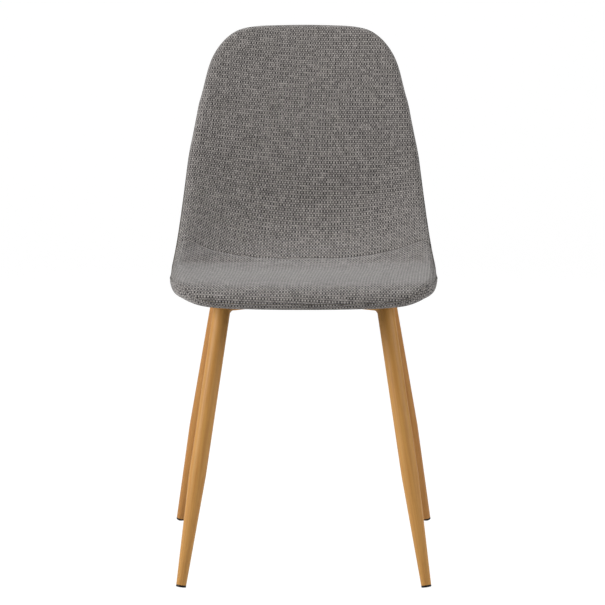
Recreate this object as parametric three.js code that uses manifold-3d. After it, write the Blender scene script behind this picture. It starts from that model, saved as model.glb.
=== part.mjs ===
// Upholstered side chair: one padded shell on a crossed frame of four splayed steel legs.
// Millimetres, Z up, the sitter faces -Y, the feet stand on z = 0, and the origin is under the
// middle of the chair's box. Left is -X, as seen by someone who faces the chair. Named angles are
// in degrees, and rad() turns them into radians.
import * as THREE from 'three';
import { mergeVertices } from 'three/addons/utils/BufferGeometryUtils.js';
import { LoftGeometry } from 'three/addons/geometries/LoftGeometry.js';
import Module from 'manifold-3d';

const wasm = await Module();
wasm.setup();

// Shell, seen from the side: two rails, each a chain of arcs and straights. The middle rail runs
// down the middle of the front face, and the edge rail along its sides.
const seatHeight = 482; // floor to the crest behind the front roll
const topEdgeHeight = 868.9; // floor to the upper end of the back's front face
const noseRadius = 52;
const noseTurn = 67.1;
const seatLength = 284; // straight seat between the front roll and the hip bend
const seatFall = 3.4; // the seat drops this much towards the back
const hipRadius = 66;
const hipTurn = 44;
const lumbarRadius = 178;
const backLean = 12; // from upright, where the lumbar bend ends
const bowRadius = 2600; // the back bows rearwards slightly above the lumbar bend
const bowTurn = 4;
const frontRise = 4.5; // the seat's sides lie this far above its middle at the front
const edgeClimb = 0.9; // the seat's sides rise this much towards the back
const edgeSweepRadius = 235; // the sides turn up in one wide sweep
const edgeLean = 17.5; // the back's sides, from upright
const topRise = 10.9; // the back's sides lie this far ahead of its middle at the top

// Shell, seen from the front: half its width, and how sharply its sides lift out of the middle.
const frontHalfWidth = 198.5;
const seatHalfWidth = 209.7;
const bendHalfWidth = 210.1;
const hipHalfWidth = 206.7;
const backHalfWidth = 180;
const topHalfWidth = 151.5;
const seatDishPower = 3;
const backDishPower = 2.2;
const frontCrown = 6.5; // the front edge is this much further forward in the middle
const topCrown = 11.5;
const frontCornerWidth = 70.3;
const frontCornerLength = 89;
const topCornerWidth = 73.5;
const topCornerLength = 139.5;
const cornerPower = 2.7; // 2 makes a corner an ellipse; above it, the corner runs gently into its sides

// Layers of the shell, from the sitter's side down.
const coverThickness = 1.4;
const foamThickness = 11;
const plyThickness = 8;
const paddingThickness = 2;
const layerGap = 0.3;
const foamWall = 5.4; // foam left round the plywood's edge
const plyEdgeGap = 0.6;
const plyEdgeRadius = 2.5;
const frontSeamAngle = 50; // where the covers meet on the rolled edge, up from its outermost line
const backSeamAngle = -10;

// Leg frame.
const frontFootHalf = 194; // middle of the chair to the front legs' axes, at the floor
const rearFootHalf = 216;
const footDepth = 454; // front feet to rear feet
const frontFootLead = 18; // the front feet stand this far ahead of the seat's crest
const frontShoulderHalf = 128.5; // middle of the chair to the legs' axes, at the arms
const rearShoulderHalf = 140.5;
const tubeRadius = 13.5;
const footRadius = 8;
const tubeWall = 1.5;
const taperLength = 176;
const armWidth = 24;
const armHeight = 15;
const armCorner = 3;
const armWall = 1.5;
const weldRadius = 7;
const weldWidth = 20;
const capThickness = 1.5;

// Glides pressed into the legs.
const glideThickness = 3;
const glideEdge = 1.2;
const glidePlugLength = 22;
const glideChamfer = 1;
const floorCut = 0.6; // depth of the flat on the glide's lowest edge

// Fixings between the arms and the shell.
const boltReachFront = 84; // along an arm from the crossing to the bolt
const boltReachRear = 74;
const boltRadius = 3;
const boltHeadRadius = 5.4;
const boltHeadHeight = 2.6;
const headFaceShare = 0.6; // radius of the head's flat face, and the height of its straight rim
const headRimShare = 0.35;
const socketRadius = 2.3;
const socketDepth = 1.6;
const washerRadius = 7.5;
const washerThickness = 1.2;
const spacerRadius = 11;
const spacerThickness = 7.5;
const flangeRadius = 9.5;
const flangeThickness = 1.6;
const barrelRadius = 4.3;

// Clearances.
const fitGap = 0.3; // between faces that touch on the real chair
const padGap = 0.5; // between a rubber spacer and the dished cover above it
const overrun = 5; // how far a cutter passes the faces that it cuts

// Counts of facets.
const cornerSteps = 6;
const edgeSteps = 3;
const rollSteps = 4;
const rearRollSteps = 4;
const underSteps = 2;
const seatSteps = 4;
const bendSteps = 8;
const backSteps = 5;
const roundSides = 20;
const smallSides = 12;
const hexSides = 6;
const squareCount = 6; // corners in the two triangles of a square
const dishShares = [0.34, 0.64, 0.87]; // rings between the middle line and the rolled edge

const rad = THREE.MathUtils.degToRad;
const shellThickness = 2 * coverThickness + foamThickness + plyThickness + paddingThickness
  + 4 * layerGap;
const rimRadius = shellThickness / 2;

// The two rails. A place on a rail has y, z and a heading, measured up from level to the rear.

// Walks a chain of bends; past the last bend the rail runs on straight.
function rail(start, bends) {
  return (along) => {
    const place = { ...start };
    let left = along;
    for (const { length, turn } of bends) {
      const part = THREE.MathUtils.clamp(left, 0, length);
      const from = place.heading;
      const to = from + turn * part / length;
      if (turn === 0) {
        place.y += part * Math.cos(from);
        place.z += part * Math.sin(from);
      } else {
        place.y += length / turn * (Math.sin(to) - Math.sin(from));
        place.z += length / turn * (Math.cos(from) - Math.cos(to));
      }
      place.heading = to;
      left -= part;
    }
    place.y += left * Math.cos(place.heading);
    place.z += left * Math.sin(place.heading);
    return place;
  };
}

const bend = (radius, degrees) => ({ length: radius * rad(Math.abs(degrees)), turn: rad(degrees) });

const lumbarTurn = 90 - backLean + seatFall - hipTurn;
const middleBends = [
  bend(noseRadius, -noseTurn),
  { length: seatLength, turn: 0 },
  bend(hipRadius, hipTurn),
  bend(lumbarRadius, lumbarTurn),
  bend(bowRadius, -bowTurn),
];
const [noseLength, , hipLength, lumbarLength, bowLength] = middleBends.map(({ length }) => length);
const hipStart = noseLength + seatLength;
const lumbarStart = hipStart + hipLength;
const bowStart = lumbarStart + lumbarLength;
const bowEnd = bowStart + bowLength;

// The seat's crest is at y = 0 and its real height, and the back runs up to its named top.
const heading = rad(noseTurn - seatFall);
const fromFront = rail({ y: 0, z: 0, heading }, middleBends);
const crest = fromFront(noseLength);
const frontEnd = { y: -crest.y, z: seatHeight - crest.z, heading };
const middleRail = rail(frontEnd, middleBends);
const bowTop = middleRail(bowEnd);
const shellLength = bowEnd + (topEdgeHeight - bowTop.z) / Math.sin(bowTop.heading);

// The edge rail's two straights cross at a corner, which the wide sweep rounds off.
const edgeNose = bend(noseRadius, edgeClimb - noseTurn + seatFall);
const edgeStart = { y: frontEnd.y, z: frontEnd.z + frontRise, heading };
const edgeCrest = rail(edgeStart, [edgeNose])(edgeNose.length);
const middleTop = middleRail(shellLength);
const edgeTop = {
  y: middleTop.y - topRise * Math.sin(middleTop.heading),
  z: middleTop.z + topRise * Math.cos(middleTop.heading),
};
const sweepTurn = 90 - edgeLean - edgeClimb;
const spanY = edgeTop.y - edgeCrest.y;
const spanZ = edgeTop.z - edgeCrest.z;
const toCorner = (spanY * Math.cos(rad(edgeLean)) - spanZ * Math.sin(rad(edgeLean)))
  / Math.sin(rad(sweepTurn));
const pastCorner = (spanZ - toCorner * Math.sin(rad(edgeClimb))) / Math.cos(rad(edgeLean));
const roundedOff = edgeSweepRadius * Math.tan(rad(sweepTurn / 2));
const edgeBends = [
  edgeNose,
  { length: toCorner - roundedOff, turn: 0 },
  bend(edgeSweepRadius, sweepTurn),
  { length: pastCorner - roundedOff, turn: 0 },
];
const edgeRail = rail(edgeStart, edgeBends);

// Each stretch of the middle rail goes with one of the edge rail: nose, seat, hip and back.
const middleStretches = [noseLength, seatLength, hipLength + lumbarLength, shellLength - bowStart];
function edgeRailBeside(along) {
  let left = along;
  let edgeAlong = 0;
  middleStretches.forEach((length, i) => {
    const isLast = i === middleStretches.length - 1;
    const part = Math.min(left, isLast ? left : length);
    edgeAlong += part / length * edgeBends[i].length;
    left -= part;
  });
  return edgeRail(edgeAlong);
}

// Widths and the dish run smoothly through the places where they are named.

const stations = [
  0, noseLength + seatLength / 2, hipStart, lumbarStart, (lumbarStart + shellLength) / 2, shellLength,
];

function through(values) {
  const curve = new THREE.CubicInterpolant(stations, values, 1);
  return (along) => curve.evaluate(THREE.MathUtils.clamp(along, 0, shellLength))[0];
}

const halfWidthAt = through([
  frontHalfWidth, seatHalfWidth, bendHalfWidth, hipHalfWidth, backHalfWidth, topHalfWidth,
]);
const powerAt = through([
  seatDishPower, seatDishPower, seatDishPower, backDishPower, backDishPower, backDishPower,
]);

// The front face runs from the middle rail to the edge rail, slowly at first and then steeply.
function face(along, across) {
  const inner = middleRail(along);
  const outer = edgeRailBeside(along);
  const share = Math.min(Math.abs(across) / halfWidthAt(along), 1) ** powerAt(along);
  return new THREE.Vector3(
    across,
    THREE.MathUtils.lerp(inner.y, outer.y, share),
    THREE.MathUtils.lerp(inner.z, outer.z, share),
  );
}

// A point at a depth behind the front face, square to it.
function behind(along, across, depth) {
  const step = layerGap; // the face's slope is measured over this much to each side
  const lengthways = face(along + step, across).sub(face(along - step, across));
  const sideways = face(along, across + step).sub(face(along, across - step));
  const outwards = sideways.cross(lengthways).normalize();
  return face(along, across).addScaledVector(outwards, -depth);
}

// The outline of the shell on its own surface, as places along and across it.

const frontEdge = (across) => frontCrown * (across / halfWidthAt(0)) ** 2;
const topEdge = (across) => shellLength - topCrown * (across / halfWidthAt(shellLength)) ** 2;

function evenly(from, to, count) {
  return Array.from({ length: count }, (_, i) => from + (to - from) * i / count);
}

// How far a corner still is from its far side, across and along, as shares of its own size.
function cornerShares(angle) {
  const power = 2 / cornerPower;
  return [1 - Math.cos(rad(angle)) ** power, 1 - Math.sin(rad(angle)) ** power];
}

function halfOutline() {
  const frontFlat = halfWidthAt(0) - frontCornerWidth;
  const topFlat = halfWidthAt(shellLength) - topCornerWidth;
  const frontCornerEnd = frontEdge(halfWidthAt(0)) + frontCornerLength;
  const topCornerStart = topEdge(halfWidthAt(shellLength)) - topCornerLength;
  const line = [];
  for (const across of evenly(0, frontFlat, edgeSteps)) {
    line.push({ along: frontEdge(across), across });
  }
  for (const angle of evenly(90, 0, cornerSteps)) {
    const [widthShare, lengthShare] = cornerShares(angle);
    const ahead = frontCornerLength * lengthShare;
    const across = halfWidthAt(ahead) - frontCornerWidth * widthShare;
    line.push({ along: frontEdge(across) + ahead, across });
  }
  const sides = [
    ...evenly(frontCornerEnd, hipStart, seatSteps),
    ...evenly(hipStart, bowStart, bendSteps),
    ...evenly(bowStart, topCornerStart, backSteps),
  ];
  for (const along of sides) {
    line.push({ along, across: halfWidthAt(along) });
  }
  for (const angle of evenly(0, 90, cornerSteps)) {
    const [widthShare, lengthShare] = cornerShares(angle);
    const short = topCornerLength * lengthShare;
    const width = halfWidthAt(shellLength - short);
    const across = width - topCornerWidth * widthShare;
    line.push({ along: topEdge(across) - short, across });
  }
  for (const across of evenly(topFlat, 0, edgeSteps)) {
    line.push({ along: topEdge(across), across });
  }
  line.push({ along: topEdge(0), across: 0 });
  return line;
}

const rightSide = halfOutline();
const leftSide = rightSide.map(({ along, across }) => ({ along, across: -across }));
const outline = [...leftSide, ...rightSide.slice(1, -1).reverse()];

// Each outline point's inward direction, square to the line through its two neighbours.
outline.forEach((point, i) => {
  const before = outline.at(i - 1);
  const after = outline[(i + 1) % outline.length];
  const tangent = new THREE.Vector2(after.across - before.across, after.along - before.along);
  tangent.normalize();
  point.inAcross = tangent.y;
  point.inAlong = -tangent.x;
});

// The middle line between the two corners' depths is where all the rings close up.
const spineStart = frontCornerLength + frontCrown;
const spineEnd = shellLength - topCornerLength - topCrown;

// One ring round the shell, inset from the outline at a depth. Its place is the same all round, or a
// function of the outline's points. A share under 1 draws the ring in towards the middle line.
function ring(place, share = 1) {
  return outline.map((point) => {
    const { inset, depth } = typeof place === 'function' ? place(point) : place;
    const along = point.along + point.inAlong * inset;
    const across = point.across + point.inAcross * inset;
    const inner = THREE.MathUtils.clamp(point.along, spineStart, spineEnd);
    return behind(THREE.MathUtils.lerp(inner, along, share), across * share, depth);
  });
}

// A layer of the shell: rings from the middle of its front out to its rim, and back behind it.
// Each square between two rings is halved across. On the way back it is halved the other way, so
// that the facing sides of two layers have the same triangles and keep their gap.
function layer(frontDepth, outward, returning, backDepth) {
  const shares = [0, ...dishShares];
  const front = { inset: rimRadius, depth: frontDepth };
  const back = { inset: rimRadius, depth: backDepth };
  const rings = [
    ...shares.map((share) => ring(front, share)),
    ...outward.map((place) => ring(place)),
    ...returning.map((place) => ring(place)),
    ...shares.toReversed().map((share) => ring(back, share)),
  ];
  const loft = new LoftGeometry(rings, { closed: true });
  const corners = loft.index.array;
  const firstReturn = (shares.length + outward.length) * outline.length * squareCount;
  for (let i = firstReturn; i < corners.length; i += squareCount) {
    const [a, b, d, , c] = corners.slice(i, i + squareCount);
    corners.set([a, b, c, a, c, d], i);
  }
  return weld(loft);
}

// Places on an arc about the rolled edge's own axis; 0 degrees is outermost, 90 faces the sitter.
// An end is an angle, or a function that gives its angle at each point of the outline.
function rimArc(radius, from, to, steps) {
  const angleOf = (end, point) => (typeof end === 'function' ? end(point) : end);
  return [...evenly(0, 1, steps), 1].map((share) => (point) => {
    const angle = rad(THREE.MathUtils.lerp(angleOf(from, point), angleOf(to, point), share));
    return {
      inset: rimRadius - radius * Math.cos(angle),
      depth: rimRadius - radius * Math.sin(angle),
    };
  });
}

// The covers' seam lies high on the rolled edge at the front, and lower along the back.
function seamAngle({ along }) {
  const share = THREE.MathUtils.smoothstep(along, 0, hipStart);
  return THREE.MathUtils.lerp(frontSeamAngle, backSeamAngle, share);
}

// The angle at which an arc of the rolled edge reaches a depth on the hidden side.
function angleAt(radius, depth) {
  return THREE.MathUtils.radToDeg(Math.asin((rimRadius - depth) / radius));
}

// Leaves only positions, with shared corners merged and faces of no area dropped.
function weld(geometry) {
  const plain = new THREE.BufferGeometry().copy(geometry);
  plain.deleteAttribute('normal');
  plain.deleteAttribute('uv');
  const merged = mergeVertices(plain);
  const corners = merged.index.array;
  const kept = [];
  for (let i = 0; i < corners.length; i += 3) {
    const [a, b, c] = corners.slice(i, i + 3);
    if (a !== b && b !== c && c !== a) kept.push(a, b, c);
  }
  merged.setIndex(kept);
  return merged;
}

function solidOf(geometry) {
  const merged = weld(geometry);
  return new wasm.Manifold(new wasm.Mesh({
    numProp: 3,
    vertProperties: merged.attributes.position.array,
    triVerts: new Uint32Array(merged.index.array),
  }));
}

function geometryOf(solid) {
  const { vertProperties, triVerts } = solid.getMesh();
  const geometry = new THREE.BufferGeometry();
  geometry.setAttribute('position', new THREE.BufferAttribute(vertProperties, 3));
  geometry.setIndex(new THREE.BufferAttribute(triVerts, 1));
  return geometry;
}

// The chair's scene graph. The frame group lies parallel to the seat, under the arms' crossing.

const chair = new THREE.Group();
const shell = new THREE.Group();
const frame = new THREE.Group();
chair.add(shell, frame);

const frontFootY = -frontFootLead;
const crossingY = frontFootY + footDepth * frontFootHalf / (frontFootHalf + rearFootHalf);
const undersideZ = seatHeight - crossingY * Math.tan(rad(seatFall))
  - shellThickness / Math.cos(rad(seatFall));
frame.position.set(0, crossingY, undersideZ);
frame.rotation.x = -rad(seatFall);
chair.updateMatrixWorld(true);

function add(parent, name, geometry, material) {
  const piece = new THREE.Mesh(geometry, material);
  piece.name = name;
  parent.add(piece);
  return piece;
}

// Moves one piece's geometry into another piece's own frame.
function inFrameOf(piece, other) {
  piece.updateWorldMatrix(true, false);
  other.updateWorldMatrix(true, false);
  const change = piece.matrixWorld.clone().invert().multiply(other.matrixWorld);
  return other.geometry.clone().applyMatrix4(change);
}

function cut(piece, cutters) {
  let solid = solidOf(piece.geometry);
  for (const cutter of cutters) {
    solid = solid.subtract(solidOf(inFrameOf(piece, cutter)));
  }
  piece.geometry = geometryOf(solid);
}

function join(piece, additions) {
  let solid = solidOf(piece.geometry);
  for (const addition of additions) {
    solid = solid.add(solidOf(inFrameOf(piece, addition)));
  }
  piece.geometry = geometryOf(solid);
}

function keepWithin(piece, room) {
  const solid = solidOf(piece.geometry).intersect(solidOf(inFrameOf(piece, room)));
  piece.geometry = geometryOf(solid);
}

// A turned body from radii and heights, about the Z axis of its own mesh.
function turned(outlinePoints, sides) {
  const points = outlinePoints.map(([radius, height]) => new THREE.Vector2(radius, height));
  return new THREE.LatheGeometry(points, sides).rotateX(Math.PI / 2);
}

// Cutters and weld metal lie in a group beside the frame's pieces, which is removed at the end.
const workshop = new THREE.Group();
frame.add(workshop);

function tool(geometry) {
  const piece = new THREE.Mesh(geometry);
  workshop.add(piece);
  return piece;
}

// A round bar square to the seat, between two heights, to cut with.
function drill({ x, y }, bottom, top, radius, sides = smallSides) {
  const bar = tool(turned([[0, bottom], [radius, bottom], [radius, top], [0, top]], sides));
  bar.position.set(x, y, 0);
  return bar;
}

// Finishes.

const fabric = (color) => new THREE.MeshStandardMaterial({ color, roughness: 0.95, metalness: 0 });
const frontFabric = fabric(0x736e6b);
const backFabric = fabric(0x6a6664);
const foamFinish = new THREE.MeshStandardMaterial({ color: 0xe6ddb4, roughness: 0.9, metalness: 0 });
const plyFinish = new THREE.MeshStandardMaterial({ color: 0xc9a877, roughness: 0.7, metalness: 0 });
const feltFinish = new THREE.MeshStandardMaterial({ color: 0xd9d7d0, roughness: 1, metalness: 0 });
const woodPrint = new THREE.MeshStandardMaterial({ color: 0xaf824e, roughness: 0.5, metalness: 0 });
const blackPlastic = new THREE.MeshStandardMaterial({ color: 0x121212, roughness: 0.45, metalness: 0 });
const blackRubber = new THREE.MeshStandardMaterial({ color: 0x1c1c1c, roughness: 0.9, metalness: 0 });
const zinc = new THREE.MeshStandardMaterial({ color: 0xb9bcc0, roughness: 0.35, metalness: 1 });

// The shell's layers. They are all offsets of one face, so each lies in the next one's hollow.

const coverInner = rimRadius - coverThickness;
const foamOuter = coverInner - layerGap;
const foamFront = coverThickness + layerGap;
const plyFront = foamFront + foamThickness + layerGap;
const plyBack = plyFront + plyThickness;
const paddingFront = plyBack + layerGap;
const paddingBack = paddingFront + paddingThickness;
const lipAngle = angleAt(foamOuter, plyBack); // the foam's lower lip
const seamGapAngle = THREE.MathUtils.radToDeg(layerGap / coverInner);
const plyInset = rimRadius - foamOuter * Math.cos(rad(angleAt(foamOuter, plyFront))) + foamWall;
const paddingAngle = angleAt(foamOuter, paddingFront);

add(shell, 'front_cover', layer(
  0,
  rimArc(rimRadius, 90, seamAngle, rollSteps),
  rimArc(coverInner, seamAngle, 90, rollSteps),
  coverThickness,
), frontFabric);

add(shell, 'seat_and_back_foam', layer(
  foamFront,
  rimArc(foamOuter, 90, seamAngle, rollSteps),
  [
    ...rimArc(foamOuter, seamAngle, lipAngle, rearRollSteps),
    { inset: plyInset - plyEdgeGap, depth: plyBack },
    { inset: plyInset - plyEdgeGap, depth: plyFront - layerGap + plyEdgeRadius },
    { inset: plyInset - plyEdgeGap + plyEdgeRadius, depth: plyFront - layerGap },
    { inset: rimRadius, depth: plyFront - layerGap },
  ],
  plyFront - layerGap,
), foamFinish);

const plyShell = add(shell, 'plywood_shell', layer(
  plyFront,
  [
    { inset: rimRadius, depth: plyFront },
    { inset: plyInset + plyEdgeRadius, depth: plyFront },
    { inset: plyInset, depth: plyFront + plyEdgeRadius },
    { inset: plyInset, depth: plyBack - plyEdgeRadius },
    { inset: plyInset + plyEdgeRadius, depth: plyBack },
  ],
  [{ inset: rimRadius, depth: plyBack }],
  plyBack,
), plyFinish);

const backPadding = add(shell, 'back_padding', layer(
  paddingFront,
  [
    { inset: rimRadius, depth: paddingFront },
    { inset: plyInset + plyEdgeRadius, depth: paddingFront },
  ],
  rimArc(foamOuter, paddingAngle, -90, underSteps),
  paddingBack,
), feltFinish);

const rearSeamAngle = (point) => seamAngle(point) - seamGapAngle;
const backCover = add(shell, 'back_cover', layer(
  shellThickness - coverThickness,
  [
    ...rimArc(coverInner, -90, lipAngle, underSteps),
    ...rimArc(coverInner, lipAngle, rearSeamAngle, rearRollSteps),
  ],
  [
    ...rimArc(rimRadius, rearSeamAngle, lipAngle, rearRollSteps),
    ...rimArc(rimRadius, lipAngle, -90, underSteps),
  ],
  shellThickness,
), backFabric);

// Heights in the frame group, where zero is the shell's underside along its middle line.

const spacerBottom = -spacerThickness;
const armTop = spacerBottom - fitGap;
const armBottom = armTop - armHeight;
const armMiddle = armTop - armHeight / 2;
const washerTop = armBottom - fitGap;
const washerBottom = washerTop - washerThickness;
const headTop = washerBottom - fitGap;

// The four corners of the frame. Each diagonal runs straight in plan, through the crossing.

const corners = [];
for (const [end, footHalf, shoulderHalf, footAway, boltReach] of [
  ['front', frontFootHalf, frontShoulderHalf, frontFootY - crossingY, boltReachFront],
  ['rear', rearFootHalf, rearShoulderHalf, frontFootY + footDepth - crossingY, boltReachRear],
]) {
  for (const [side, sign] of [['left', -1], ['right', 1]]) {
    const foot = frame.worldToLocal(new THREE.Vector3(sign * footHalf, crossingY + footAway, 0));
    const shoulderY = footAway * shoulderHalf / footHalf;
    const shoulder = new THREE.Vector3(sign * shoulderHalf, shoulderY, armMiddle);
    const out = new THREE.Vector2(shoulder.x, shoulder.y);
    const reach = out.length();
    const bolt = out.clone().normalize().multiplyScalar(boltReach);
    const up = shoulder.clone().sub(foot).normalize();
    corners.push({ end, side, name: `${end}_${side}`, foot, shoulder, reach, bolt, up });
  }
}

// Legs: round tube, straight above and drawn down to a smaller end over the lowest part.

function legProfile(outer, inner, bottom, top) {
  return [
    [inner.end, bottom], [outer.end, bottom], [outer.tube, bottom + taperLength],
    [outer.tube, top], [inner.tube, top], [inner.tube, bottom + taperLength], [inner.end, bottom],
  ];
}

function standOn(piece, corner) {
  piece.position.copy(corner.foot);
  piece.quaternion.setFromUnitVectors(new THREE.Vector3(0, 0, 1), corner.up);
}

for (const corner of corners) {
  const upright = corner.up.clone().applyQuaternion(frame.quaternion);
  const lean = Math.acos(upright.z);
  corner.legTop = corner.shoulder.distanceTo(corner.foot)
    + (armHeight / 2) / corner.up.z - tubeRadius * Math.tan(lean) - capThickness - fitGap;
  const rollLow = (footRadius - glideEdge) * Math.sin(lean) + glideEdge - glideEdge * Math.cos(lean);
  corner.glideBottom = (rollLow - floorCut) / Math.cos(lean);
  corner.glideTop = corner.glideBottom + glideThickness;
  const leg = add(frame, `${corner.name}_leg`, turned(legProfile(
    { end: footRadius, tube: tubeRadius },
    { end: footRadius - tubeWall, tube: tubeRadius - tubeWall },
    corner.glideTop + fitGap,
    corner.legTop,
  ), roundSides), woodPrint);
  standOn(leg, corner);
  const capBottom = corner.legTop + fitGap;
  const cap = add(frame, `${corner.name}_leg_cap`, turned([
    [0, capBottom], [tubeRadius, capBottom], [tubeRadius, capBottom + capThickness],
    [0, capBottom + capThickness],
  ], roundSides), woodPrint);
  standOn(cap, corner);
}

// Glides: a plug in the tube's end and a collar square to the leg, cut flat where it stands.

const floor = new THREE.Mesh(new THREE.BoxGeometry(footDepth * 2, footDepth * 2, overrun * 2));
floor.position.set(0, crossingY, -overrun);
workshop.attach(floor);

for (const corner of corners) {
  const plugRadius = footRadius - tubeWall - fitGap;
  const plugTop = corner.glideTop + glidePlugLength;
  const edge = evenly(-90, 0, edgeSteps).map((angle) => [
    footRadius - glideEdge + glideEdge * Math.cos(rad(angle)),
    corner.glideBottom + glideEdge + glideEdge * Math.sin(rad(angle)),
  ]);
  const glide = add(frame, `${corner.name}_glide`, turned([
    [0, corner.glideBottom],
    ...edge,
    [footRadius, corner.glideBottom + glideEdge],
    [footRadius, corner.glideTop],
    [plugRadius, corner.glideTop],
    [plugRadius, plugTop - glideChamfer],
    [plugRadius - glideChamfer, plugTop],
    [0, plugTop],
  ], roundSides), blackPlastic);
  standOn(glide, corner);
  cut(glide, [floor]);
}

// Arms: rectangular tube. One runs right through, the other is two halves welded to its sides.

function roundedRectangle(shape, halfWide, halfHigh, corner) {
  shape.moveTo(halfWide, corner - halfHigh);
  shape.lineTo(halfWide, halfHigh - corner);
  shape.absarc(halfWide - corner, halfHigh - corner, corner, 0, Math.PI / 2);
  shape.absarc(corner - halfWide, halfHigh - corner, corner, Math.PI / 2, Math.PI);
  shape.absarc(corner - halfWide, corner - halfHigh, corner, Math.PI, Math.PI * 3 / 2);
  shape.absarc(halfWide - corner, corner - halfHigh, corner, Math.PI * 3 / 2, Math.PI * 2);
  return shape;
}

function tubeSection(wide, high, corner, wall) {
  const section = roundedRectangle(new THREE.Shape(), wide / 2, high / 2, corner);
  section.holes.push(
    roundedRectangle(new THREE.Path(), wide / 2 - wall, high / 2 - wall, corner - wall),
  );
  return section;
}

// A bar on one diagonal of the frame, between two distances from the crossing towards a corner.
function barTowards(corner, from, to, section) {
  const options = { depth: to - from, bevelEnabled: false, curveSegments: edgeSteps };
  const bar = tool(new THREE.ExtrudeGeometry(section, options));
  bar.geometry.translate(0, 0, from);
  bar.geometry.rotateX(Math.PI / 2);
  bar.geometry.rotateZ(Math.PI);
  bar.position.z = armMiddle;
  bar.rotation.z = Math.atan2(corner.shoulder.y, corner.shoulder.x) - Math.PI / 2;
  return bar;
}

// The weld's fillet under an arm: a ring that flares from the leg up to the arm's underside. Only
// the part on the arm's side of the leg is kept, and no more than the weld's own width.
function weldFillet(corner) {
  const lean = Math.acos(corner.up.z);
  const outer = tubeRadius + weldRadius;
  const underArm = corner.shoulder.distanceTo(corner.foot) - (armHeight / 2) / corner.up.z
    + outer * Math.tan(lean);
  const flare = evenly(0, 90, cornerSteps).map((angle) => [
    outer - weldRadius * Math.cos(rad(angle)),
    underArm - weldRadius + weldRadius * Math.sin(rad(angle)),
  ]);
  const fillet = tool(turned([
    [tubeRadius - armWall, underArm - weldRadius], ...flare, [outer, underArm],
    [outer, underArm + armWall / 2], [tubeRadius - armWall, underArm + armWall / 2],
    [tubeRadius - armWall, underArm - weldRadius],
  ], roundSides));
  standOn(fillet, corner);
  const room = tool(new THREE.BoxGeometry(corner.reach, weldWidth, armHeight + weldRadius * 4));
  room.position.set(corner.shoulder.x / 2, corner.shoulder.y / 2, armMiddle);
  room.rotation.z = Math.atan2(corner.shoulder.y, corner.shoulder.x);
  keepWithin(fillet, room);
  return fillet;
}

// The room that a leg takes out of its arm: the arm's end is coped to the round tube.
function legRoom(corner) {
  const radius = tubeRadius + fitGap;
  const top = corner.legTop + overrun * 2;
  const room = tool(turned([[0, 0], [radius, 0], [radius, top], [0, top]], roundSides));
  standOn(room, corner);
  return room;
}

const [frontLeft, frontRight, rearLeft, rearRight] = corners;
const armSection = tubeSection(armWidth, armHeight, armCorner, armWall);

function addArm(name, bar, ends, cutters) {
  const arm = add(frame, name, bar.geometry, woodPrint);
  arm.position.copy(bar.position);
  arm.quaternion.copy(bar.quaternion);
  const boltHole = ({ bolt }) => drill(bolt, armBottom - overrun, armTop + overrun, boltRadius + fitGap);
  join(arm, ends.map(weldFillet));
  cut(arm, [...ends.map(legRoom), ...ends.map(boltHole), ...cutters]);
}

const throughBar = barTowards(frontLeft, -rearRight.reach, frontLeft.reach, armSection);
const throughRoom = barTowards(frontLeft, -rearRight.reach, frontLeft.reach, roundedRectangle(
  new THREE.Shape(), armWidth / 2 + fitGap, armHeight / 2 + fitGap, armCorner,
));
const frontBar = barTowards(frontRight, 0, frontRight.reach, armSection);
const rearBar = barTowards(rearLeft, 0, rearLeft.reach, armSection);
addArm('through_arm', throughBar, [frontLeft, rearRight], []);
addArm('front_half_arm', frontBar, [frontRight], [throughRoom]);
addArm('rear_half_arm', rearBar, [rearLeft], [throughRoom]);

// Fixings at each corner, from below: bolt, washer, arm, rubber spacer, shell, tee nut.

for (const corner of corners) {
  const along = noseLength + crossingY / Math.cos(rad(seatFall)) + corner.bolt.y;
  const rise = frame.worldToLocal(face(along, corner.bolt.x)).z - shellThickness;
  corner.spacerTop = rise - padGap;
  corner.plyTop = rise + shellThickness - plyFront;
  corner.plyBottom = rise + shellThickness - plyBack;
  corner.flangeBottom = corner.plyTop - flangeThickness;
}

for (const { name, bolt, spacerTop, plyTop, plyBottom, flangeBottom } of corners) {
  const put = (label, geometry, finish) => {
    const piece = add(frame, `${name}_${label}`, geometry, finish);
    piece.position.set(bolt.x, bolt.y, 0);
    return piece;
  };
  const hole = boltRadius + fitGap;

  const headBottom = headTop - boltHeadHeight;
  const boltPiece = put('bolt', turned([
    [0, headBottom], [boltHeadRadius * headFaceShare, headBottom],
    [boltHeadRadius, headTop - boltHeadHeight * headRimShare], [boltHeadRadius, headTop],
    [boltRadius, headTop], [boltRadius, plyTop - fitGap], [0, plyTop - fitGap],
  ], smallSides), zinc);
  cut(boltPiece, [
    drill(bolt, headBottom - overrun, headBottom + socketDepth, socketRadius, hexSides),
  ]);

  const ringProfile = (inner, outer, bottom, top) => [
    [inner, bottom], [outer, bottom], [outer, top], [inner, top], [inner, bottom],
  ];
  put('washer', turned(ringProfile(hole, washerRadius, washerBottom, washerTop), smallSides), zinc);
  put('spacer', turned(ringProfile(hole, spacerRadius, spacerBottom, spacerTop), smallSides),
    blackRubber);
  const barrelBottom = plyBottom + fitGap;
  put('tee_nut', turned([
    [hole, barrelBottom], [barrelRadius, barrelBottom], [barrelRadius, flangeBottom],
    [flangeRadius, flangeBottom], [flangeRadius, plyTop - fitGap], [hole, plyTop - fitGap],
    [hole, barrelBottom],
  ], smallSides), zinc);
}

// Holes in the shell for the fixings. The tee nut's flange lies flush in the plywood.

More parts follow.
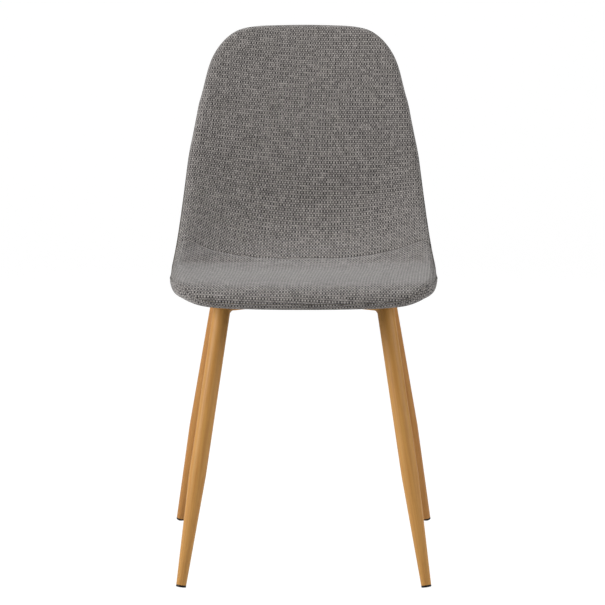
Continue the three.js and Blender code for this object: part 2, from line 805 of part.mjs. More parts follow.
const boltHoles = corners.map(({ bolt, plyBottom }) => (
  drill(bolt, -overrun, plyBottom, boltRadius + fitGap)
));
const barrelHoles = corners.map(({ bolt, plyTop }) => (
  drill(bolt, -overrun, plyTop + overrun, barrelRadius + fitGap)
));
const flangeSeats = corners.map(({ bolt, plyTop, flangeBottom }) => (
  drill(bolt, flangeBottom - fitGap, plyTop + overrun, flangeRadius + fitGap)
));
cut(plyShell, [...barrelHoles, ...flangeSeats]);
cut(backPadding, barrelHoles);
cut(backCover, boltHoles);

// The whole chair moves so that the origin lies under the middle of its box.

frame.remove(workshop);
chair.updateMatrixWorld(true);
const box = new THREE.Box3().setFromObject(chair, true);
const centre = box.getCenter(new THREE.Vector3());
chair.position.set(-centre.x, -centre.y, -box.min.z);
const part = new THREE.Group();
part.add(chair);

export default part;
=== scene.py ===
"""An upholstered side chair: one padded, fabric-covered shell on a crossed frame of four tapered legs.

Metres, Z up, and the sitter faces -Y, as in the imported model. Left is -X. The sections follow the
chair as it is put together: the shell with its padding and covers, the welded leg frame, the
fixings between them, and the glides.
"""
import math

import bmesh
import bpy
import numpy as np
from mathutils import Matrix, Vector


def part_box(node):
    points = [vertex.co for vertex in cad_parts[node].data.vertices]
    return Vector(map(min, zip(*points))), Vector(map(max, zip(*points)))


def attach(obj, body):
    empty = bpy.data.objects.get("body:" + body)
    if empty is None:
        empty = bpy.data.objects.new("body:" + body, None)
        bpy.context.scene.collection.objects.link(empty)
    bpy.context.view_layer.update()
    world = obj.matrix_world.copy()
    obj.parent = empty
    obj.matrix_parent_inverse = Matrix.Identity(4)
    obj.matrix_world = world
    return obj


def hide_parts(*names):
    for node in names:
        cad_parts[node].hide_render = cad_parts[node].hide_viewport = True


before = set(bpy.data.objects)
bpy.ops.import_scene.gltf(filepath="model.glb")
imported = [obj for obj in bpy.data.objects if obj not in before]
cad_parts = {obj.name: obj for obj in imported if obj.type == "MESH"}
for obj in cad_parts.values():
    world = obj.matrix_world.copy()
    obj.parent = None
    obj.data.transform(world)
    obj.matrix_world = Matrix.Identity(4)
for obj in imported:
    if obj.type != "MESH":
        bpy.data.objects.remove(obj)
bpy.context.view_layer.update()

# Camera
# It looks at the chair from the front, a little from above, through a long lens.
photo_pixels = 605
focal_pixels = 2463
sensor_width = 0.036
camera_place = Vector((-0.0019, -4.0179, 1.023))
camera_dip = math.radians(8.547)
camera_reach = 100  # how far the camera sees

camera_data = bpy.data.cameras.new("photo_camera")
camera_data.sensor_width = sensor_width * 1000
camera_data.lens = camera_data.sensor_width * focal_pixels / photo_pixels
camera_data.clip_end = camera_reach
camera = bpy.data.objects.new("photo_camera", camera_data)
camera.location = camera_place
camera.rotation_euler = (math.pi / 2 - camera_dip, 0, 0)
bpy.context.scene.collection.objects.link(camera)
bpy.context.scene.camera = camera


# Plywood shell
# Sheets of beech veneer are glued and pressed into one double-curved shell that carries the sitter.
# It is left bare, since foam, felt and fabric hide it all round.

class Wire:
    """An output in a finish's node tree. Arithmetic on wires adds Math nodes."""

    def __init__(self, finish, socket):
        self.finish = finish
        self.socket = socket

    def math(self, operation, *values):
        return self.finish.node("Math", {"operation": operation}, *values)

    def __add__(self, other):
        return self.math("ADD", self, other)

    def __radd__(self, other):
        return self.math("ADD", other, self)

    def __sub__(self, other):
        return self.math("SUBTRACT", self, other)

    def __rsub__(self, other):
        return self.math("SUBTRACT", other, self)

    def __mul__(self, other):
        return self.math("MULTIPLY", self, other)

    def __rmul__(self, other):
        return self.math("MULTIPLY", other, self)

    def __truediv__(self, other):
        return self.math("DIVIDE", self, other)

    def size(self):
        return self.math("ABSOLUTE", self)


class Finish:
    """A material under construction, on one Principled shader."""

    def __init__(self, name, **uniform):
        self.material = bpy.data.materials.new(name)
        self.material.use_nodes = True
        self.tree = self.material.node_tree
        self.shader = self.tree.nodes["Principled BSDF"]
        for socket, value in uniform.items():
            label = socket.replace("_", " ").title().replace("Ior", "IOR")
            self.shader.inputs[label].default_value = value

    def node(self, kind, settings, *values, sockets=None, out=0):
        """Adds a node, applies its settings, then fills its sockets in order or by name or number."""
        node = self.tree.nodes.new("ShaderNode" + kind)
        for setting, value in settings.items():
            if setting == "stops":
                self.set_stops(node.color_ramp, value)
            else:
                setattr(node, setting, value)
        filled = dict(enumerate(values))
        filled.update(sockets or {})
        for key, value in filled.items():
            self.fill(node.inputs[key], value)
        return Wire(self, node.outputs[out])

    def set_stops(self, ramp, stops):
        for element in list(ramp.elements)[1:]:
            ramp.elements.remove(element)
        for i, (position, color) in enumerate(stops):
            element = ramp.elements[0] if i == 0 else ramp.elements.new(position)
            element.position = position
            element.color = (*color, 1)

    def fill(self, socket, value):
        if isinstance(value, Wire):
            self.tree.links.new(value.socket, socket)
        elif socket.type == "RGBA" and len(value) == 3:
            socket.default_value = (*value, 1)
        else:
            socket.default_value = value

    def place(self):
        return self.node("TexCoord", {}, out="Object")

    def laid(self):
        """The piece's own UV map, in metres along the cloth or the grain."""
        return self.node("UVMap", {"uv_map": "laid"})

    def noise(self, place, scale, detail=2, roughness=0.5):
        """Noise with so many lumps to the metre, either along all axes or along each one."""
        if isinstance(scale, tuple):
            place = self.node("Mapping", {}, place, sockets={"Scale": scale})
            scale = 1
        return self.node("TexNoise", {}, sockets={
            "Vector": place, "Scale": scale, "Detail": detail, "Roughness": roughness,
        })

    def graded(self, value, low, high, to_low=0, to_high=1):
        """The value's range from low to high, spread smoothly from one number to the other."""
        return self.node("MapRange", {"interpolation_type": "SMOOTHSTEP"},
                         value, low, high, to_low, to_high)

    def sine(self, value):
        """A wave that changes sign at every whole number."""
        return self.node("Math", {"operation": "SINE"}, value * math.pi)

    def mixed(self, share, first, second, blend="MIX"):
        return self.node("Mix", {"data_type": "RGBA", "blend_type": blend},
                         sockets={0: share, 6: first, 7: second}, out=2)

    def bumped(self, height, depth, strength=1):
        return self.node("Bump", {}, sockets={
            "Height": height, "Distance": depth, "Strength": strength,
        })

    def give(self, **wires):
        for socket, wire in wires.items():
            self.tree.links.new(wire.socket, self.shader.inputs[socket.replace("_", " ").title()])
        return self.material


def wear(node, material):
    """Gives a carried-over node its finish."""
    node.material_slots[0].material = material


veneer_thickness = 0.0011
veneer_grain = (260, 14, 14)
veneer_layers = (3, 3, 1 / veneer_thickness)

plywood = Finish("bent_plywood", roughness=0.6)
place = plywood.place()
grain = plywood.noise(place, veneer_grain, 4)
layers = plywood.noise(place, veneer_layers, 1)
board = plywood.node("ValToRGB", {"stops": [
    (0.3, (0.40, 0.25, 0.11)), (0.5, (0.58, 0.40, 0.19)), (0.7, (0.68, 0.49, 0.26)),
]}, grain)
plywood.give(
    base_color=plywood.mixed(plywood.graded(layers, 0.45, 0.6, 0, 0.25), board, (0.36, 0.22, 0.10)),
    normal=plywood.bumped(grain, 0.0002, 0.4),
)
wear(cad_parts["plywood_shell"], plywood.material)


# Tee nuts
# Four steel tee nuts are pressed into the plywood's front face before the foam is glued on. They
# are pressed from strip and zinc plated.

zinc = Finish("zinc_plate", metallic=1, roughness=0.35)
place = zinc.place()
spangle = zinc.noise(place, 900, 3)
smudges = zinc.noise(place, 120, 2)
zinc.give(
    base_color=zinc.node("ValToRGB", {"stops": [
        (0.35, (0.40, 0.42, 0.44)), (0.5, (0.50, 0.52, 0.55)), (0.65, (0.60, 0.62, 0.66)),
    ]}, spangle),
    roughness=zinc.graded(smudges, 0.3, 0.7, 0.26, 0.46),
    normal=zinc.bumped(spangle, 0.00005, 0.5),
)

corners = ("front_left", "front_right", "rear_left", "rear_right")
for corner in corners:
    wear(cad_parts[f"{corner}_tee_nut"], zinc.material)


# Foam
# Moulded polyurethane foam, 11 mm thick, is glued over the plywood's front and round its edge. Its
# skin is slightly uneven, with open cells.

sharp_turn = math.radians(60)  # a skin ends, and shading breaks, at edges that turn by more
clear_turn = math.radians(40)  # edges of metal and plastic that turn by more are real edges
weld_distance = 1e-6
cell_pitch = 0.0009


def cage_of(node):
    """A welded copy of a node's mesh, with its triangles paired into squares."""
    cage = bmesh.new()
    cage.from_mesh(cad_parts[node].data)
    bmesh.ops.remove_doubles(cage, verts=cage.verts, dist=weld_distance)
    bmesh.ops.join_triangles(cage, faces=cage.faces, angle_face_threshold=clear_turn,
                             angle_shape_threshold=math.pi)
    return cage


def piece_from(name, shape, smooth_turn=sharp_turn):
    """Ends the work on a shape: its smooth edges are shaded smooth, and it becomes a piece."""
    for face in shape.faces:
        face.smooth = True
    for edge in shape.edges:
        edge.smooth = len(edge.link_faces) == 2 and edge.calc_face_angle(0) < smooth_turn
    mesh = bpy.data.meshes.new(name)
    shape.to_mesh(mesh)
    shape.free()
    piece = bpy.data.objects.new(name, mesh)
    bpy.context.scene.collection.objects.link(piece)
    return piece


def evaluated(piece):
    """A copy of the piece's mesh with its modifiers applied."""
    bpy.context.view_layer.update()
    return bpy.data.meshes.new_from_object(piece.evaluated_get(bpy.context.evaluated_depsgraph_get()))


def settle(piece):
    """Applies the piece's modifiers."""
    mesh = evaluated(piece)
    piece.modifiers.clear()
    piece.data = mesh


def subdivide(piece, levels):
    """Rounds the piece off between its corners, which stay where the solid has them."""
    corners_before = [corner.co.copy() for corner in piece.data.vertices]
    rounding = piece.modifiers.new("rounding", "SUBSURF")
    rounding.levels = rounding.render_levels = levels
    rounded = evaluated(piece)
    for corner, before in zip(piece.data.vertices, corners_before):
        corner.co = before * 2 - rounded.vertices[corner.index].co
    settle(piece)


def fit(piece, material, node):
    """Finishes a piece of the chair's one body and puts it in the place of its node."""
    piece.data.materials.clear()
    piece.data.materials.append(material)
    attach(piece, "root")
    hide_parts(node)


foam_finish = Finish("open_cell_foam", roughness=0.95, subsurface_weight=0.1)
place = foam_finish.place()
cells = foam_finish.node("TexVoronoi", {"feature": "DISTANCE_TO_EDGE"},
                         sockets={"Vector": place, "Scale": 1 / cell_pitch})
yellowing = foam_finish.noise(place, 9, 3)
foam_finish.give(
    base_color=foam_finish.mixed(foam_finish.graded(cells, 0, 0.3, 0.5, 0), foam_finish.mixed(
        foam_finish.graded(yellowing, 0.35, 0.65), (0.80, 0.75, 0.50), (0.72, 0.62, 0.34),
    ), (0.45, 0.38, 0.2)),
    normal=foam_finish.bumped(cells, 0.0004, 0.7),
)

front_side = 0.5  # on the sitter's side, a normal's rise and its turn to the front add up to more
crease_middle = 0.0907  # how far back the crease lies in the middle of the seat
crease_sweep = 0.78  # the crease runs forward by this times the square of the distance to a side
crease_depth = 0.002
crease_reach = 0.009
crease_cuts = 5
foam_squeeze = 0.0006
hip_middle = 0.09  # how far back the hollow between seat and back is deepest
hip_sweep = 2.3  # the hollow runs forward by this times the square of the distance to a side
hip_reach = 0.04
hip_half_width = 0.2
hip_fill = 0.012  # how much fuller than the solid the hollow is in its middle


def fill_hip(piece):
    """Softens the hollow between seat and back, where the foam bulges as it is bent."""
    for vert in piece.data.vertices:
        along = (vert.co.y + hip_sweep * vert.co.x ** 2 - hip_middle) / hip_reach
        across = min(1, abs(vert.co.x) / hip_half_width)
        if vert.normal.z - vert.normal.y > front_side:
            vert.co += vert.normal * hip_fill * (1 - across ** 2) * math.exp(-along ** 2)


def press_crease(shape):
    """Cuts fine rows of faces along the crease and presses them in, deepest on the crease itself."""
    def bend_by(amount):
        for vert in shape.verts:
            vert.co.y += amount * vert.co.x ** 2
    bend_by(crease_sweep)
    for i in range(-crease_cuts, crease_cuts + 1):
        offset = crease_middle + crease_reach * (i / crease_cuts) * abs(i / crease_cuts)
        everything = [*shape.verts, *shape.edges, *shape.faces]
        bmesh.ops.bisect_plane(shape, geom=everything, plane_co=(0, offset, 0), plane_no=(0, 1, 0),
                               dist=weld_distance)
    shape.normal_update()
    for vert in shape.verts:
        share = 1 - abs(vert.co.y - crease_middle) / crease_reach
        if share > 0:
            vert.co -= vert.normal * crease_depth * share ** 3
    bend_by(-crease_sweep)


foam = piece_from("foam_padding", cage_of("seat_and_back_foam"))
subdivide(foam, 1)
fill_hip(foam)
foam_shape = bmesh.new()
foam_shape.from_mesh(foam.data)
press_crease(foam_shape)
foam_shape.normal_update()
for vert in foam_shape.verts:
    vert.co -= vert.normal * foam_squeeze
foam_shape.to_mesh(foam.data)
foam_shape.free()
fit(foam, foam_finish.material, "seat_and_back_foam")


# Front cover
# A coarse plain weave of thick melange yarn, drawn tight over the foam and round the rolled edge.
# It is glued down along the bend between seat and back, which leaves a fine curved crease.

cloth_thickness = 0.0014
warp_pitch = 0.00235
weft_pitch = 0.0037
weave_skew = math.radians(2.7)
thread_wander = 0.0012
yarn_height = 0.0009
crossing_share = 0.45  # how much of the relief comes from the crossings of warp and weft
weft_share = 0.48
warp_share = 0.17
gap_shadow_start = 0.64  # how much painted shade the cloth gets where it has no relief
uneven_shadow_share = 0.38  # how much single crossings differ in depth, and so in their painted shade
wander_scale = 110
slub_spread = (0.12, 3.7)  # how quickly a yarn's thickness changes along a row and between rows
fibre_scale = (900, 1800, 1)
patch_scale = 28
# the painted shade in the gaps and hollows of the weave
gap_shadow_color = (0.018, 0.016, 0.017)
tuck_depth = 0.0011
tuck_shares = (1, 0.55, 0.2)  # what the seam and the next rows of cloth take of that depth
foam_push = 12
seam_grip = 10
cloth_stiffness = 40
settling_frames = 20
first_slack = 0.0005  # the cloth starts this far under its place
most_lift = 0.005  # the cloth never rises further than this
crease_hold = 0.012  # the glue holds the cloth down this far to each side of the crease
foam_grip = 0.2  # share of that hold which the foam's rough skin has everywhere


def skin_of(node, near):
    """The outer side of a cover: all that joins the face nearest to a point without a sharp turn."""
    skin = cage_of(node)
    first = min(skin.faces, key=lambda face: (face.calc_center_median() - Vector(near)).length)
    found = {first}
    edge_faces = [first]
    while edge_faces:
        face = edge_faces.pop()
        for edge in face.edges:
            if edge.calc_face_angle(math.pi) < sharp_turn:
                fresh = set(edge.link_faces) - found
                found |= fresh
                edge_faces.extend(fresh)
    hidden = [face for face in skin.faces if face not in found]
    bmesh.ops.delete(skin, geom=hidden, context="FACES")
    return skin


def lay_cloth(piece, low, high):
    """Unrolls the piece into a UV map in metres, with the line from low to high as its upright."""
    piece.data.uv_layers.new(name="laid")
    bpy.ops.object.select_all(action="DESELECT")
    piece.select_set(True)
    bpy.context.view_layer.objects.active = piece
    bpy.ops.object.mode_set(mode="EDIT")
    bpy.ops.mesh.select_all(action="SELECT")
    bpy.ops.uv.unwrap(method="CONFORMAL", margin=0)
    bpy.ops.object.mode_set(mode="OBJECT")
    mesh = piece.data
    laid = mesh.uv_layers["laid"].uv
    flat = np.array([uv.vector for uv in laid])
    area = 0
    for face in mesh.polygons:
        spread = flat[list(face.loop_indices)]
        after = np.roll(spread, -1, axis=0)
        area += abs(np.sum(spread[:, 0] * after[:, 1] - spread[:, 1] * after[:, 0])) / 2
    scale = math.sqrt(sum(face.area for face in mesh.polygons) / area)
    corner_of_loop = [loop.vertex_index for loop in mesh.loops]
    ends = []
    for point in (low, high):
        nearest = min(mesh.vertices, key=lambda v: (v.co - Vector(point)).length).index
        ends.append(flat[corner_of_loop.index(nearest)])
    upright = ends[1] - ends[0]
    turn = math.atan2(upright[0], upright[1])
    cos, sin = math.cos(turn) * scale, math.sin(turn) * scale
    flat = (flat - ends[0]) @ np.array([[cos, sin], [-sin, cos]])
    for uv, spot in zip(laid, flat):
        uv.vector = spot
    return np.ptp(flat, axis=0), float(area * scale ** 2)


def woven(name, pale, deep, tint):
    """The cover cloth: thick pale weft in uneven rows, with painted shade in the gaps where the thin
    warp ends dip.
    """
    cloth = Finish(name, roughness=0.92, specular_ior_level=0.2, sheen_weight=0.3, sheen_roughness=0.5)
    laid = cloth.node("Mapping", {}, cloth.laid(), sockets={"Rotation": (0, 0, weave_skew)})
    wander = cloth.node("TexNoise", {}, sockets={
        "Vector": laid, "Scale": wander_scale, "Detail": 1,
    }, out=1)
    wander = cloth.node("VectorMath", {"operation": "MULTIPLY"},
                        wander, (thread_wander, thread_wander, 0))
    threads = cloth.node("VectorMath", {"operation": "ADD"}, laid, wander)
    end = cloth.node("SeparateXYZ", {}, threads, out=0) / warp_pitch
    pick = cloth.node("SeparateXYZ", {}, threads, out=1) / weft_pitch
    row = pick.math("FLOOR", pick)
    crossing = cloth.node("CombineXYZ", {}, end.math("FLOOR", end), row, 0.0)
    chance = cloth.node("TexWhiteNoise", {"noise_dimensions": "2D"}, crossing)
    lean = cloth.sine(end)
    ridge = cloth.sine(pick).size()
    wave = lean * cloth.sine(pick)
    along_yarn = cloth.node("CombineXYZ", {}, end * slub_spread[0], row * slub_spread[1], 0.0)
    slub = cloth.noise(along_yarn, 1, 1)
    fibre = cloth.noise(laid, fibre_scale, 2)
    patch = cloth.noise(laid, patch_scale, 3)
    yarn = cloth.mixed(cloth.graded(slub, 0.3, 0.7, 0, 0.4), pale, deep)
    yarn = cloth.mixed(cloth.graded(patch, 0.48, 0.68, 0, 0.2), yarn, tint)
    yarn = cloth.mixed(cloth.graded(fibre, 0.4, 0.75, 0, 0.3), yarn, deep)
    relief = wave * crossing_share + ridge * weft_share - lean * warp_share
    # Where the relief is low, the colour goes towards the gap colour: painted shade in the weave's
    # hollows.
    cloth.give(
        base_color=cloth.mixed(gap_shadow_start - relief + chance * uneven_shadow_share, yarn, gap_shadow_color),
        normal=cloth.bumped(relief + fibre * 0.1 - chance * 0.2, yarn_height),
    )
    return cloth.material


def tuck_rim(shape):
    """Draws the cloth in along its edges, where the seam pulls it down between the two covers."""
    shape.normal_update()
    tucked = {vert for vert in shape.verts if vert.is_boundary}
    ring = tucked
    for share in tuck_shares:
        for vert in ring:
            vert.co -= vert.normal * tuck_depth * share
        ring = {edge.other_vert(vert) for vert in ring for edge in vert.link_edges} - tucked
        tucked |= ring


def swell(cover):
    """Lets the foam push the cloth out, while the seam and the glued crease hold it down."""
    shape = bmesh.new()
    shape.from_mesh(cover.data)
    seam = {vert.index for vert in shape.verts if vert.is_boundary}
    shape.free()
    held = cover.vertex_groups.new(name="held")
    before = []
    for vert in cover.data.vertices:
        from_crease = abs(vert.co.y + crease_sweep * vert.co.x ** 2 - crease_middle)
        share = 1 if vert.index in seam else max(foam_grip, 1 - from_crease / crease_hold)
        held.add([vert.index], share, "REPLACE")
        vert.co -= vert.normal * first_slack * (1 - share)
        before.append(vert.co.copy())
    cloth = cover.modifiers.new("cloth", "CLOTH")
    cloth.settings.vertex_group_mass = "held"
    cloth.settings.effector_weights.gravity = 0
    cloth.settings.pin_stiffness = seam_grip
    cloth.settings.tension_stiffness = cloth_stiffness
    cloth.settings.compression_stiffness = cloth_stiffness
    cloth.settings.use_pressure = True
    cloth.settings.uniform_pressure_force = foam_push
    cloth.point_cache.frame_end = settling_frames
    for moment in range(1, settling_frames + 1):
        bpy.context.scene.frame_set(moment)
    settle(cover)
    for vert, start in zip(cover.data.vertices, before):
        lift = vert.co - start
        vert.co = start + lift * most_lift / (most_lift + lift.length)


def upholster(name, node, near, low, high, creased):
    """Makes a cover from its node: one smooth skin with its crease and the cloth's thickness."""
    cover = piece_from(name, skin_of(node, near))
    subdivide(cover, 1)
    if creased:
        fill_hip(cover)
    if creased:
        swell(cover)
    subdivide(cover, 2)
    flat, area = lay_cloth(cover, low, high)
    shape = bmesh.new()
    shape.from_mesh(cover.data)
    tuck_rim(shape)
    if creased:
        press_crease(shape)
    shape.to_mesh(cover.data)
    shape.free()
    wall = cover.modifiers.new("thickness", "SOLIDIFY")
    wall.thickness = cloth_thickness
    wall.offset = -1
    settle(cover)
    return cover, flat, area


front_spot = (0, 0.17, 0.65)
front_upright = ((0, 0.17, 0.6), (0, 0.21, 0.78))
front_cloth = woven(
    "front_cover_cloth", (0.412, 0.382, 0.36), (0.178, 0.162, 0.154), (0.276, 0.26, 0.222))
front_cover, front_flat, front_area = upholster(
    "front_cover_cloth", "front_cover", front_spot, *front_upright, creased=True)
fit(front_cover, front_cloth, "front_cover")


# Felt
# Thin needled felt evens out the plywood's back under the rear cover. It is glued on before the
# cover is drawn over it.

felt_finish = Finish("needled_felt", roughness=1, sheen_weight=0.3)
place = felt_finish.place()
hair = felt_finish.noise(place, 1400, 5, 0.7)
clumps = felt_finish.noise(place, 60, 3)
felt_finish.give(
    base_color=felt_finish.mixed(felt_finish.graded(clumps, 0.35, 0.65), (0.72, 0.71, 0.66),
                                 (0.60, 0.59, 0.55)),
    normal=felt_finish.bumped(hair, 0.0005, 0.8),
)
felt = piece_from("back_felt", cage_of("back_padding"))
fit(felt, felt_finish.material, "back_padding")


# Rear cover
# The same cloth, cut to the rear of the shell. It is drawn over the felt and sewn to the front
# cover along the rolled edge.

rear_spot = (0, 0.19, 0.65)
rear_upright = ((0, 0.19, 0.6), (0, 0.23, 0.78))
back_cloth = woven(
    "back_cover_cloth", (0.402, 0.372, 0.35), (0.173, 0.157, 0.149), (0.266, 0.25, 0.213))
back_cover, back_flat, back_area = upholster(
    "back_cover_cloth", "back_cover", rear_spot, *rear_upright, creased=False)
fit(back_cover, back_cloth, "back_cover")


# Legs
# Round steel tube, drawn down to a smaller end over its lowest part. A film printed with oak grain
# is wrapped round the whole leg and meets itself on the rear side. On the rear legs and their caps
# the film's colour is darkened with painted shade, for the shade they stand in under the chair.

tube_radius = 0.0135
foot_radius = 0.008
tube_wall = 0.0015
taper_length = 0.176
round_sides = 64
burr = 0.0003  # the small round on every cut end
round_turn = math.radians(30)  # turned pieces are shaded smooth up to this turn
figure_scale = (240, 7, 1)
streak_scale = (950, 11, 1)
pore_scale = (3200, 160, 1)


def turning_axis(node):
    """Where a turned node stands: a transform whose Z runs up its axis from its lower end."""
    spots = np.unique(np.round([v.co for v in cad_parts[node].data.vertices], 6), axis=0)
    middle = spots.mean(axis=0)
    axis = np.linalg.svd(spots - middle)[2][0]
    axis *= np.sign(axis[2])
    along = (spots - middle) @ axis
    upright = Vector((0, 0, 1)).rotation_difference(Vector(axis)).to_matrix().to_4x4()
    low = Vector(middle + axis * along.min())
    return Matrix.Translation(low) @ upright, float(np.ptp(along))


def span_along(axis, node):
    """The lowest and the highest point of a node along an axis."""
    heights = [(axis.inverted() @ vert.co).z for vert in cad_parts[node].data.vertices]
    return min(heights), max(heights)


def turned(outline, sides=round_sides):
    """A solid turned from a closed outline of radii and heights."""
    shape = bmesh.new()
    points = [shape.verts.new((radius, 0, height)) for radius, height in outline]
    lines = [shape.edges.new(pair) for pair in zip(points, points[1:] + points[:1])]
    bmesh.ops.spin(shape, geom=points + lines, axis=(0, 0, 1), cent=(0, 0, 0), angle=math.tau,
                   steps=sides, use_merge=True, use_duplicate=False)
    bmesh.ops.remove_doubles(shape, verts=shape.verts, dist=weld_distance)
    bmesh.ops.recalc_face_normals(shape, faces=shape.faces)
    return shape


def soften(shape, radius):
    """Rounds every clear edge."""
    sharp = [edge for edge in shape.edges if edge.calc_face_angle(0) > clear_turn]
    bmesh.ops.bevel(shape, geom=sharp, offset=radius, segments=2, profile=0.5,
                    affect="EDGES", material=-1, clamp_overlap=True)


def wrap_round(shape):
    """Lays the film round a turned shape: U runs round it and V along it, both in metres."""
    laid = shape.loops.layers.uv.new("laid")
    for face in shape.faces:
        middle = face.calc_center_median()
        facing = math.atan2(middle.y, middle.x)
        for loop in face.loops:
            spot = loop.vert.co
            angle = math.atan2(spot.y, spot.x) - facing
            angle = facing + (angle + math.pi) % math.tau - math.pi
            loop[laid].uv = (angle * tube_radius, spot.z)


def grained_film(name, painted_shade):
    """The printed film: a soft figure, fine streaks and short pores along the grain, its colour
    multiplied by painted shade.
    """
    film = Finish(name, specular_ior_level=0.3)
    laid = film.laid()
    figure = film.noise(laid, figure_scale, 3)
    streak = film.noise(laid, streak_scale, 2)
    pores = film.noise(laid, pore_scale, 1)
    tone = film.node("ValToRGB", {"stops": [
        (0.30, (0.42, 0.190, 0.043)), (0.45, (0.46, 0.224, 0.055)),
        (0.58, (0.50, 0.253, 0.065)), (0.72, (0.45, 0.247, 0.063)),
    ]}, figure)
    tone = film.mixed(film.graded(streak, 0.5, 0.75, 0, 0.3), tone, (0.33, 0.165, 0.055))
    tone = film.mixed(film.graded(pores, 0.6, 0.75, 0, 0.3), tone, (0.22, 0.11, 0.04))
    return film.give(
        base_color=film.mixed(1, tone, painted_shade, "MULTIPLY"),
        roughness=film.graded(streak, 0.3, 0.7, 0.46, 0.58),
        normal=film.bumped(pores, 0.00006, 0.5),
    )


front_film = grained_film("oak_grain_film", (1, 1, 1))
# The rear legs' copy of the film is darkened with painted shade.
shaded_rear_film = grained_film("painted_shade_oak_film", (0.84, 0.765, 0.71))
film_of = {corner: shaded_rear_film if "rear" in corner else front_film for corner in corners}

for corner in corners:
    axis, length = turning_axis(f"{corner}_leg")
    leg_shape = turned([
        (foot_radius - tube_wall, 0), (foot_radius, 0), (tube_radius, taper_length),
        (tube_radius, length), (tube_radius - tube_wall, length),
        (tube_radius - tube_wall, taper_length),
    ])
    soften(leg_shape, burr)
    wrap_round(leg_shape)
    bmesh.ops.transform(leg_shape, matrix=axis, verts=leg_shape.verts)
    leg = piece_from(f"{corner}_tapered_leg", leg_shape, round_turn)
    fit(leg, film_of[corner], f"{corner}_leg")


# Leg caps
# A steel disc closes the upper end of each tube. It is welded on before the arms are, and covered
# by the same film as its leg.

cap_thickness = 0.0015

for corner in corners:
    axis, _ = turning_axis(f"{corner}_leg")
    low, high = (axis.inverted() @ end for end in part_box(f"{corner}_leg_cap"))
    middle = (low.z + high.z) / 2
    cap_shape = turned([
        (0, middle - cap_thickness / 2), (tube_radius, middle - cap_thickness / 2),
        (tube_radius, middle + cap_thickness / 2), (0, middle + cap_thickness / 2),
    ])
    soften(cap_shape, burr)
    wrap_round(cap_shape)
    bmesh.ops.transform(cap_shape, matrix=axis, verts=cap_shape.verts)
    cap = piece_from(f"{corner}_end_cap", cap_shape)
    fit(cap, film_of[corner], f"{corner}_leg_cap")


# Arms
# Two rectangular steel tubes cross under the seat. One runs through, the other is in two halves
# that are welded to its sides. A fillet of weld runs under each arm where it meets its leg.

def wrap_along(shape, direction):
    """Lays the film on a bar: V runs along it, and U over its sides."""
    laid = shape.loops.layers.uv.new("laid")
    beside = Vector((0, 0, 1)).cross(direction)
    for face in shape.faces:
        for loop in face.loops:
            spot = loop.vert.co
            loop[laid].uv = (spot.dot(beside) + spot.z, spot.dot(direction))


for node, from_corner, to_corner in (
    ("through_arm", "front_left", "rear_right"),
    ("front_half_arm", "front_right", "rear_left"),
    ("rear_half_arm", "front_right", "rear_left"),
):
    low, high = (sum(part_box(f"{end}_leg_cap"), Vector()) / 2 for end in (from_corner, to_corner))
    arm_shape = cage_of(node)
    wrap_along(arm_shape, (high - low).normalized())
    arm = piece_from(f"{node}_tube", arm_shape, clear_turn)
    fit(arm, front_film, node)


# Fixings
# At each corner a zinc-plated bolt with a hexagon socket goes up through a washer, the arm and a
# rubber spacer into its tee nut.

bolt_radius = 0.003
head_radius = 0.0054
head_height = 0.0026
head_flat = 0.72  # share of the head's radius that its flat end has
head_rim = 0.5  # share of the head's height at which its dome begins
socket_radius = 0.0023
socket_depth = 0.0016
washer_radius = 0.0075
spacer_radius = 0.011
hole_radius = 0.0033
small_sides = 48
side_turn = math.tau / 6

rubber = Finish("black_rubber", roughness=0.85)
place = rubber.place()
grit = rubber.noise(place, 1500, 3)
bloom = rubber.noise(place, 150, 3)
rubber.give(
    base_color=rubber.mixed(rubber.graded(bloom, 0.4, 0.7), (0.014, 0.014, 0.014),
                            (0.028, 0.027, 0.026)),
    normal=rubber.bumped(grit, 0.0001, 0.4),
)


def cut_hexagon(shape):
    """Squares the round socket of a bolt's head off to six flat sides."""
    for vert in shape.verts:
        if abs(math.hypot(vert.co.x, vert.co.y) - socket_radius) < weld_distance:
            angle = math.atan2(vert.co.y, vert.co.x) % side_turn - side_turn / 2
            vert.co.xy *= math.cos(side_turn / 2) / math.cos(angle)


for corner in corners:
    axis, length = turning_axis(f"{corner}_bolt")
    bolt_shape = turned([
        (0, socket_depth), (socket_radius, socket_depth), (socket_radius, 0),
        (head_radius * head_flat, 0), (head_radius, head_height * head_rim), (head_radius, head_height),
        (bolt_radius, head_height), (bolt_radius, length), (0, length),
    ], small_sides)
    cut_hexagon(bolt_shape)
    soften(bolt_shape, burr / 2)
    bmesh.ops.transform(bolt_shape, matrix=axis, verts=bolt_shape.verts)
    bolt = piece_from(f"{corner}_socket_bolt", bolt_shape, round_turn)
    fit(bolt, zinc.material, f"{corner}_bolt")
    for label, radius, finish, slot in (
        ("washer", washer_radius, zinc, "zinc_steel"),
        ("spacer", spacer_radius, rubber, "black_rubber"),
    ):
        bottom, top = span_along(axis, f"{corner}_{label}")
        ring_shape = turned([
            (hole_radius, bottom), (radius, bottom), (radius, top), (hole_radius, top),
        ], small_sides)
        soften(ring_shape, burr)
        bmesh.ops.transform(ring_shape, matrix=axis, verts=ring_shape.verts)
        ring = piece_from(f"{corner}_round_{label}", ring_shape)
        fit(ring, finish.material, f"{corner}_{label}")


# Glides
# Black plastic collars, moulded with a plug that is pressed into the lower end of the leg. Each
# stands on a small worn flat.

glide_thickness = 0.003
fit_gap = 0.0003
plug_radius = foot_radius - tube_wall - fit_gap
scuff_scale = (400, 400, 60)

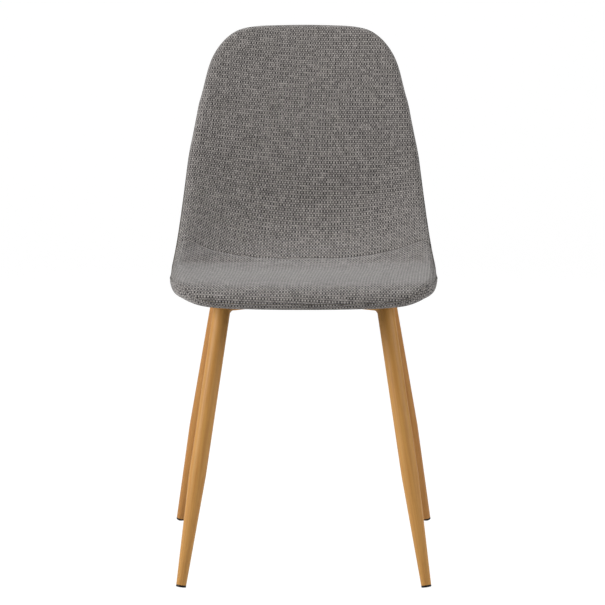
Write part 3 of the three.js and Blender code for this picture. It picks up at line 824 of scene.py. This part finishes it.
glide_finish = Finish("black_plastic", roughness=0.42, specular_ior_level=0.2)
place = glide_finish.place()
stipple = glide_finish.noise(place, 2200, 2)
scuffs = glide_finish.noise(place, scuff_scale, 3)
glide_finish.give(
    base_color=glide_finish.mixed(glide_finish.graded(scuffs, 0.55, 0.75), (0.007, 0.007, 0.007),
                                  (0.018, 0.018, 0.017)),
    roughness=glide_finish.graded(scuffs, 0.35, 0.7, 0.36, 0.6),
    normal=glide_finish.bumped(stipple, 0.00004, 0.5),
)

for corner in corners:
    axis, _ = turning_axis(f"{corner}_leg")
    _, top = span_along(axis, f"{corner}_glide")
    glide_shape = turned([
        (0, -fit_gap - glide_thickness), (foot_radius, -fit_gap - glide_thickness),
        (foot_radius, -fit_gap), (plug_radius, -fit_gap), (plug_radius, top), (0, top),
    ])
    soften(glide_shape, burr)
    bmesh.ops.transform(glide_shape, matrix=axis, verts=glide_shape.verts)
    everything = [*glide_shape.verts, *glide_shape.edges, *glide_shape.faces]
    worn = bmesh.ops.bisect_plane(glide_shape, geom=everything, plane_co=(0, 0, 0),
                                  plane_no=(0, 0, -1), clear_outer=True, dist=weld_distance)
    cut_edges = [item for item in worn["geom_cut"] if isinstance(item, bmesh.types.BMEdge)]
    bmesh.ops.holes_fill(glide_shape, edges=cut_edges)
    glide = piece_from(f"{corner}_foot_glide", glide_shape, clear_turn)
    fit(glide, glide_finish.material, f"{corner}_glide")


# Studio
# A white floor that runs up into a backdrop, and soft lamps at both sides and above.

floor_half = 6
sweep_start = 3.5
sweep_radius = 2.5
sweep_steps = 16
lamp_aim = (0, 0, 0.4)
air_glow = 0.06
paper_glow = 0.82  # share of the paper's look that is its own even white, so that shadows stay faint
paper_white = 1.16

stage_shape = bmesh.new()
front_ends = [stage_shape.verts.new((x, -floor_half * 2, 0)) for x in (-floor_half, floor_half)]
line = [stage_shape.edges.new(front_ends)]
flat_floor = bmesh.ops.extrude_edge_only(stage_shape, edges=line)["geom"]
end_verts = [item for item in flat_floor if isinstance(item, bmesh.types.BMVert)]
bmesh.ops.translate(stage_shape, verts=end_verts, vec=(0, floor_half * 2 + sweep_start, 0))
end_edges = [item for item in flat_floor if isinstance(item, bmesh.types.BMEdge)
             and all(vert in end_verts for vert in item.verts)]
bmesh.ops.spin(stage_shape, geom=end_verts + end_edges, axis=(1, 0, 0),
               cent=(0, sweep_start, sweep_radius), angle=math.pi / 2, steps=sweep_steps)
stage = piece_from("studio_floor", stage_shape)

paper = Finish("white_paper", base_color=(0.8, 0.8, 0.8, 1), roughness=0.9)
seen = sum(paper.node("LightPath", {}, out=ray) for ray in (
    "Is Camera Ray", "Is Glossy Ray", "Is Transmission Ray")) * paper_glow
lit = paper.node("Emission", {}, sockets={"Strength": paper_white})
blend = paper.node("MixShader", {}, seen, Wire(paper, paper.shader.outputs[0]), lit)
paper.tree.links.new(blend.socket, paper.tree.nodes["Material Output"].inputs["Surface"])
stage.data.materials.append(paper.material)

for name, place, size, power in (
    ("left_lamp", (-3.3, -1.4, 1.8), 1.8, 150),
    ("right_lamp", (3.3, -1.4, 1.8), 1.8, 80),
    ("top_lamp", (0, 0, 3.2), 2.0, 27),
    ("rear_lamp", (0, 1.1, 3.0), 2.0, 9),
):
    lamp_data = bpy.data.lights.new(name, "AREA")
    lamp_data.size = size
    lamp_data.energy = power
    lamp = bpy.data.objects.new(name, lamp_data)
    lamp.location = place
    lamp.rotation_euler = (Vector(place) - Vector(lamp_aim)).to_track_quat("Z", "Y").to_euler()
    bpy.context.scene.collection.objects.link(lamp)

world = bpy.data.worlds.new("studio_air")
world.use_nodes = True
air = world.node_tree.nodes["Background"]
air.inputs["Color"].default_value = (1, 1, 1, 1)
air.inputs["Strength"].default_value = air_glow
bpy.context.scene.world = world
bpy.context.scene.view_settings.view_transform = "Standard"
